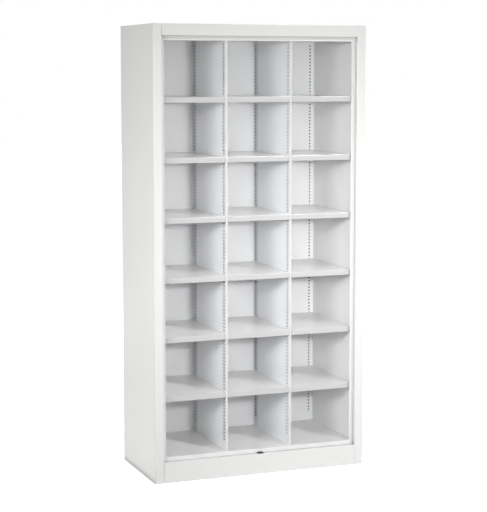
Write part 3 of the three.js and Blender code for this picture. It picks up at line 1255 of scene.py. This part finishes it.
@dataclass
class BackRivets:
    """Blind rivets through the rear flanges and the back panel.

    The dome's rings are shares of the head and the crown, and the bore's rings shares of the bore and the
    crown.
    """

    head: float = 0.0034
    crown: float = 0.0013
    bore: float = 0.0011
    foot_share: float = 0.96
    sunk: float = 0.0002
    rim: float = 0.0001
    dome: Shares = ((0.97, 0.35), (0.80, 0.72), (0.58, 0.93))
    mouth: Shares = ((1.15, 1.0), (1.0, 0.85), (1.0, 0.20), (0.0, 0.25))
    steps: int = 20
    rear: float = 0.230
    flange_x: float = 0.475
    flange_levels: tuple[float, ...] = (0.10, 0.36, 0.62, 0.88, 1.14, 1.40, 1.66, 1.90)
    top_level: float = 1.938
    top_places: tuple[float, ...] = (-0.36, -0.12, 0.12, 0.36)

    def build(self, finishes: Finishes) -> list[bpy.types.Object]:
        """Builds the rows of rivets.

        Args:
            finishes: The materials.

        Returns:
            One piece for each row.
        """
        rows = {}
        for side in Side:
            places = [(side.value * self.flange_x, z) for z in self.flange_levels]
            rows[f"{side.word}_flange_rivets"] = places
        rows["top_flange_rivets"] = [(x, self.top_level) for x in self.top_places]
        return [self._row(name, places, finishes) for name, places in rows.items()]

    def _profile(self) -> Points:
        """A rivet's rings from under its head to the end of its bore.

        Returns:
            Radius and height of each ring.
        """
        return [
            (self.head * self.foot_share, -self.sunk),
            (self.head, self.rim),
            *((self.head * wide, self.crown * high) for wide, high in self.dome),
            *((self.bore * wide, self.crown * high) for wide, high in self.mouth),
        ]

    def _row(self, name: str, places: Points, finishes: Finishes) -> bpy.types.Object:
        """Builds one row.

        Args:
            name: The piece's name.
            places: Each rivet's x and z.
            finishes: The materials.

        Returns:
            The piece.
        """
        mesh = bmesh.new()
        outward = Matrix.Rotation(-math.pi / 2, 4, "X")
        for x, z in places:
            place = Matrix.Translation((x, self.rear, z)) @ outward
            turned_shape(mesh, self._profile(), place, self.steps)
        piece = new_piece(mesh, name, CABINET)
        piece.data.shade_smooth()
        finishes.dress(piece, Finish.OUTER_COAT)
        return piece


# Levelling feet


@dataclass
class LevellingFeet:
    """Turned feet: a pad, a spanner hexagon and a threaded stud.

    The shoulder's rings are shares of the pad's radius and height.
    """

    pad: float = 0.018
    pad_height: float = 0.008
    recess: float = 0.0006
    recess_share: float = 0.55
    tread_shares: tuple[float, float] = (0.60, 0.95)
    chamfer: float = 0.0008
    shoulder: Shares = ((1.0, 0.45), (0.96, 0.58), (0.80, 0.94), (0.74, 1.0), (0.0, 1.0))
    hexagon: float = 0.008
    hexagon_sides: int = 6
    hexagon_height: float = 0.007
    hexagon_sunk: float = 0.0005
    hexagon_crown_share: float = 0.92
    stud: float = 0.005
    stud_top: float = 0.070
    stud_sunk: float = 0.001
    stud_tip_share: float = 0.8
    thread_pitch: float = 0.0015
    thread_depth: float = 0.0007
    crest_shares: tuple[float, float] = (0.4, 0.6)
    steps: int = 32

    def build(self, finishes: Finishes) -> list[bpy.types.Object]:
        """Builds a foot in place of each packed one."""
        nodes = [f"levelling_foot_{end}_{side.word}" for end in ENDS for side in Side]
        return [self._foot(node, finishes) for node in nodes]

    def _foot(self, node: str, finishes: Finishes) -> bpy.types.Object:
        """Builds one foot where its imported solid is.

        Args:
            node: The foot's node, which is also its body.
            finishes: The materials.

        Returns:
            The piece.
        """
        low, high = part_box(node)
        place = Matrix.Translation(((low.x + high.x) / 2, (low.y + high.y) / 2, low.z))
        mesh = bmesh.new()
        turned_shape(mesh, self._pad_profile(), place, self.steps)
        turned_shape(mesh, self._hexagon_profile(), place, self.hexagon_sides)
        turned_shape(mesh, self._thread_profile(), place, self.steps)
        piece = new_piece(mesh, f"{node}_turned", node)
        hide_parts(node)
        finishes.dress(piece, Finish.ZINC)
        return piece

    def _pad_profile(self) -> Points:
        """The pad's rings from its underside up.

        Returns:
            Radius and height of each ring.
        """
        return [
            (0.0, self.recess),
            (self.pad * self.recess_share, self.recess),
            *((self.pad * share, 0.0) for share in self.tread_shares),
            (self.pad, self.chamfer),
            *((self.pad * wide, self.pad_height * high) for wide, high in self.shoulder),
        ]

    def _hexagon_profile(self) -> Points:
        """The hexagon's rings, with a chamfer at its top.

        Returns:
            Radius and height of each ring.
        """
        low = self.pad_height - self.hexagon_sunk
        high = self.pad_height + self.hexagon_height
        return [
            (0.0, low),
            (self.hexagon, low),
            (self.hexagon, high - self.chamfer),
            (self.hexagon * self.hexagon_crown_share, high),
            (0.0, high),
        ]

    def _thread_profile(self) -> Points:
        """The stud's rings, with a groove at each turn of the thread.

        Returns:
            Radius and height of each ring.
        """
        bottom = self.pad_height + self.hexagon_height
        root = self.stud - self.thread_depth
        turns = int((self.stud_top - bottom - self.thread_pitch) / self.thread_pitch)
        rings = [(0.0, bottom - self.stud_sunk), (root, bottom - self.stud_sunk)]
        for turn in range(turns):
            foot = bottom + turn * self.thread_pitch
            rings.append((root, foot))
            rings += [(self.stud, foot + self.thread_pitch * share) for share in self.crest_shares]
        rings.append((root, bottom + turns * self.thread_pitch))
        return [*rings, (root * self.stud_tip_share, self.stud_top), (0.0, self.stud_top)]


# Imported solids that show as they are


@dataclass
class PackedSheets:
    """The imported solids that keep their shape: they get a finish and soft edges."""

    outside: tuple[str, ...] = ("left_side_panel", "right_side_panel", "top_panel", "plinth")
    inside: tuple[str, ...] = ("back_panel",)
    floors: tuple[str, ...] = ("floor_panel",)
    liners: tuple[str, ...] = ("left_liner", "right_liner")
    mouldings: tuple[str, ...] = ("bolt_socket",)

    def build(self, nodes: dict[str, bpy.types.Object], finishes: Finishes) -> list[bpy.types.Object]:
        """Dresses the solids.

        Args:
            nodes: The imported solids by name.
            finishes: The materials.

        Returns:
            The dressed solids.
        """
        shelves = tuple(
            f"shelf_col{column}_row{row}"
            for column in range(1, COLUMNS + 1)
            for row in range(1, SHELF_ROWS + 1)
        )
        brackets = tuple(f"base_bracket_{end}_{side.word}" for end in ENDS for side in Side)
        names = {
            Finish.OUTER_COAT: self.outside,
            Finish.INNER_COAT: self.inside,
            Finish.FLOOR_COAT: self.floors,
            Finish.LINER_COAT: self.liners,
            Finish.SHELF_COAT: shelves,
            Finish.ZINC: brackets,
            Finish.MOULDING: self.mouldings,
        }
        dressed = []
        for finish, group in names.items():
            for name in group:
                finishes.dress(nodes[name], finish)
                soften_edges(nodes[name])
                dressed.append(nodes[name])
        return dressed


# Studio


@dataclass(frozen=True)
class SoftBox:
    """A studio lamp with a rectangular face that looks at a point."""

    name: str
    place: Place
    aim: Place
    size: tuple[float, float]
    power: float
    spread_deg: float = 180.0

    def build(self) -> bpy.types.Object:
        """Hangs the lamp.

        Returns:
            The lamp.
        """
        data = bpy.data.lights.new(self.name, "AREA")
        data.shape = "RECTANGLE"
        data.size, data.size_y = self.size
        data.energy = self.power
        data.spread = math.radians(self.spread_deg)
        lamp = bpy.data.objects.new(self.name, data)
        lamp.location = self.place
        lamp.rotation_euler = (Vector(self.aim) - Vector(self.place)).to_track_quat("-Z", "Y").to_euler()
        bpy.context.scene.collection.objects.link(lamp)
        return lamp


@dataclass
class Studio:
    """A white studio: an even room light, soft boxes and a pale floor that keeps the shadow."""

    backdrop: Colour = (1.0, 1.0, 1.0)
    room_colour: Colour = (0.99, 0.995, 1.0)
    room_strength: float = 0.16
    floor_colour: Colour = (0.80, 0.80, 0.80)
    floor_lift: float = 0.78
    floor_reach: float = 30.0
    floor_squares: int = 8
    shadow_reach: tuple[float, float] = (1.6, 4.5)
    lamps: tuple[SoftBox, ...] = (
        SoftBox("front_light", (0.1, -4.9, 1.77), (0.5, -0.2, 1.0), (0.5, 0.3), 7.9, spread_deg=46.0),
        SoftBox("left_front_strip", (-2.2, -4.2, 2.4), (1.0, -0.2, 0.9), (1.6, 0.6), 4.2, spread_deg=38.0),
        SoftBox("left_strip", (-3.6, -2.6, 2.0), (-0.3, -0.2, 0.95), (2.0, 0.6), 11.8, spread_deg=60.0),
        SoftBox("side_light", (-4.5, -0.6, 1.3), (0.0, 0.0, 1.0), (1.6, 1.2), 10.5),
        SoftBox("right_light", (3.4, -6.5, 5.5), (-0.2, -0.2, 0.75), (0.4, 0.4), 14.3, spread_deg=36.0),
        SoftBox("right_side_light", (4.5, 0.9, 1.5), (0.4, 0.0, 1.0), (1.6, 1.2), 32.0),
        SoftBox("top_light", (0.0, 0.8, 5.2), (0.0, 0.1, 1.9), (1.6, 1.6), 3.6, spread_deg=60.0),
        SoftBox("back_light", (2.2, 5.2, 2.8), (0.0, 0.2, 0.9), (2.0, 2.0), 160.0),
    )

    def build(self) -> None:
        """Sets the room, the floor and the lamps."""
        self._room()
        self._floor()
        for lamp in self.lamps:
            lamp.build()
            LOG.info("hung %s", lamp.name)
        bpy.context.scene.view_settings.view_transform = "Standard"

    def _seen(self, sheet: NodeSheet) -> Socket:
        """A mask for rays that show the background as it is.

        Args:
            sheet: The tree to add to.

        Returns:
            1 for camera, glossy and transmission rays, and else 0.
        """
        path = sheet.add("ShaderNodeLightPath")
        mirrored = sheet.math("MAXIMUM", path.outputs["Is Camera Ray"], path.outputs["Is Glossy Ray"])
        return sheet.math("MAXIMUM", mirrored, path.outputs["Is Transmission Ray"])

    def _room(self) -> None:
        """Makes the world: white where it is seen, softer where it lights."""
        world = bpy.data.worlds.new("studio_room")
        world.use_nodes = True
        sheet = NodeSheet(world.node_tree)
        world.node_tree.nodes.clear()
        light = sheet.add("ShaderNodeBackground")
        sheet.feed(self.room_colour, light.inputs["Color"])
        sheet.feed(self.room_strength, light.inputs["Strength"])
        white = sheet.add("ShaderNodeBackground")
        sheet.feed(self.backdrop, white.inputs["Color"])
        mix = sheet.add("ShaderNodeMixShader")
        sheet.join(self._seen(sheet), mix.inputs["Fac"])
        sheet.join(light.outputs[0], mix.inputs[1])
        sheet.join(white.outputs[0], mix.inputs[2])
        end = sheet.add("ShaderNodeOutputWorld")
        sheet.join(mix.outputs[0], end.inputs["Surface"])
        bpy.context.scene.world = world

    def _floor(self) -> None:
        """Lays the floor, lifted towards white where it is seen."""
        mesh = bmesh.new()
        squares = self.floor_squares
        bmesh.ops.create_grid(mesh, x_segments=squares, y_segments=squares, size=self.floor_reach)
        data = bpy.data.meshes.new("studio_floor")
        mesh.to_mesh(data)
        mesh.free()
        floor = bpy.data.objects.new("studio_floor", data)
        bpy.context.scene.collection.objects.link(floor)
        data.materials.append(self._floor_finish())

    def _lift(self, sheet: NodeSheet) -> Socket:
        """How far the floor is lifted: less round the cabinet, where the shadow lies, and to white far off.

        Args:
            sheet: The tree to add to.

        Returns:
            The strength of the lift.
        """
        away = sheet.add("ShaderNodeVectorMath", operation="LENGTH")
        sheet.join(sheet.add("ShaderNodeTexCoord").outputs["Object"], away.inputs[0])
        return sheet.ramp(away.outputs["Value"], *self.shadow_reach, least=self.floor_lift)

    def _floor_finish(self) -> bpy.types.Material:
        """The floor's paint.

        Returns:
            The material.
        """
        material = bpy.data.materials.new("studio_floor")
        material.use_nodes = True
        sheet = NodeSheet(material.node_tree)
        material.node_tree.nodes.clear()
        paint = sheet.add("ShaderNodeBsdfDiffuse")
        sheet.feed(self.floor_colour, paint.inputs["Color"])
        lift = sheet.add("ShaderNodeEmission")
        sheet.join(sheet.math("MULTIPLY", self._seen(sheet), self._lift(sheet)), lift.inputs["Strength"])
        both = sheet.add("ShaderNodeAddShader")
        sheet.join(paint.outputs[0], both.inputs[0])
        sheet.join(lift.outputs[0], both.inputs[1])
        end = sheet.add("ShaderNodeOutputMaterial")
        sheet.join(both.outputs[0], end.inputs["Surface"])
        return material


@dataclass
class PhotoCamera:
    """The photograph's camera, left of the cabinet and near its top."""

    place: Place = (-2.4414, -6.2924, 1.7534)
    yaw_deg: float = 21.244
    pitch_deg: float = -6.187
    focal_pixels: float = 1526.77
    principal_row: float = 236.54
    sensor: float = 36.0
    farthest: float = 200.0

    def build(self) -> bpy.types.Object:
        """Places the camera and makes it the scene's.

        Returns:
            The camera.
        """
        data = bpy.data.cameras.new("photo_camera")
        data.sensor_width = self.sensor
        data.lens = self.focal_pixels / IMAGE_HEIGHT * self.sensor
        data.shift_y = (self.principal_row - IMAGE_HEIGHT / 2) / IMAGE_HEIGHT
        data.clip_end = self.farthest
        camera = bpy.data.objects.new("photo_camera", data)
        camera.location = self.place
        yaw, pitch = math.radians(self.yaw_deg), math.radians(self.pitch_deg)
        camera.rotation_euler = (math.pi / 2 + pitch, 0.0, -yaw)
        bpy.context.scene.collection.objects.link(camera)
        bpy.context.scene.camera = camera
        return camera


def write_sizes() -> None:
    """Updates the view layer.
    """
    bpy.context.view_layer.update()


def main() -> None:
    """Loads the frame, dresses the solids and builds the finer pieces, the studio and the camera."""
    logging.basicConfig(level=logging.INFO, format="%(name)s: %(message)s")
    for leftover in list(bpy.data.objects):
        bpy.data.objects.remove(leftover, do_unlink=True)
    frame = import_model()
    bpy.context.view_layer.update()
    finishes = Finishes()
    PhotoCamera().build()
    pieces = PackedSheets().build(frame["nodes"], finishes)
    for assembly in (InnerWalls(), ShelfClips(), BackRivets(), LevellingFeet()):
        pieces += assembly.build(finishes)
    for piece in pieces:
        LOG.info("%s: %d faces", piece.name, len(piece.data.polygons))
    Studio().build()
    write_sizes()


if __name__ == "__main__":
    main()
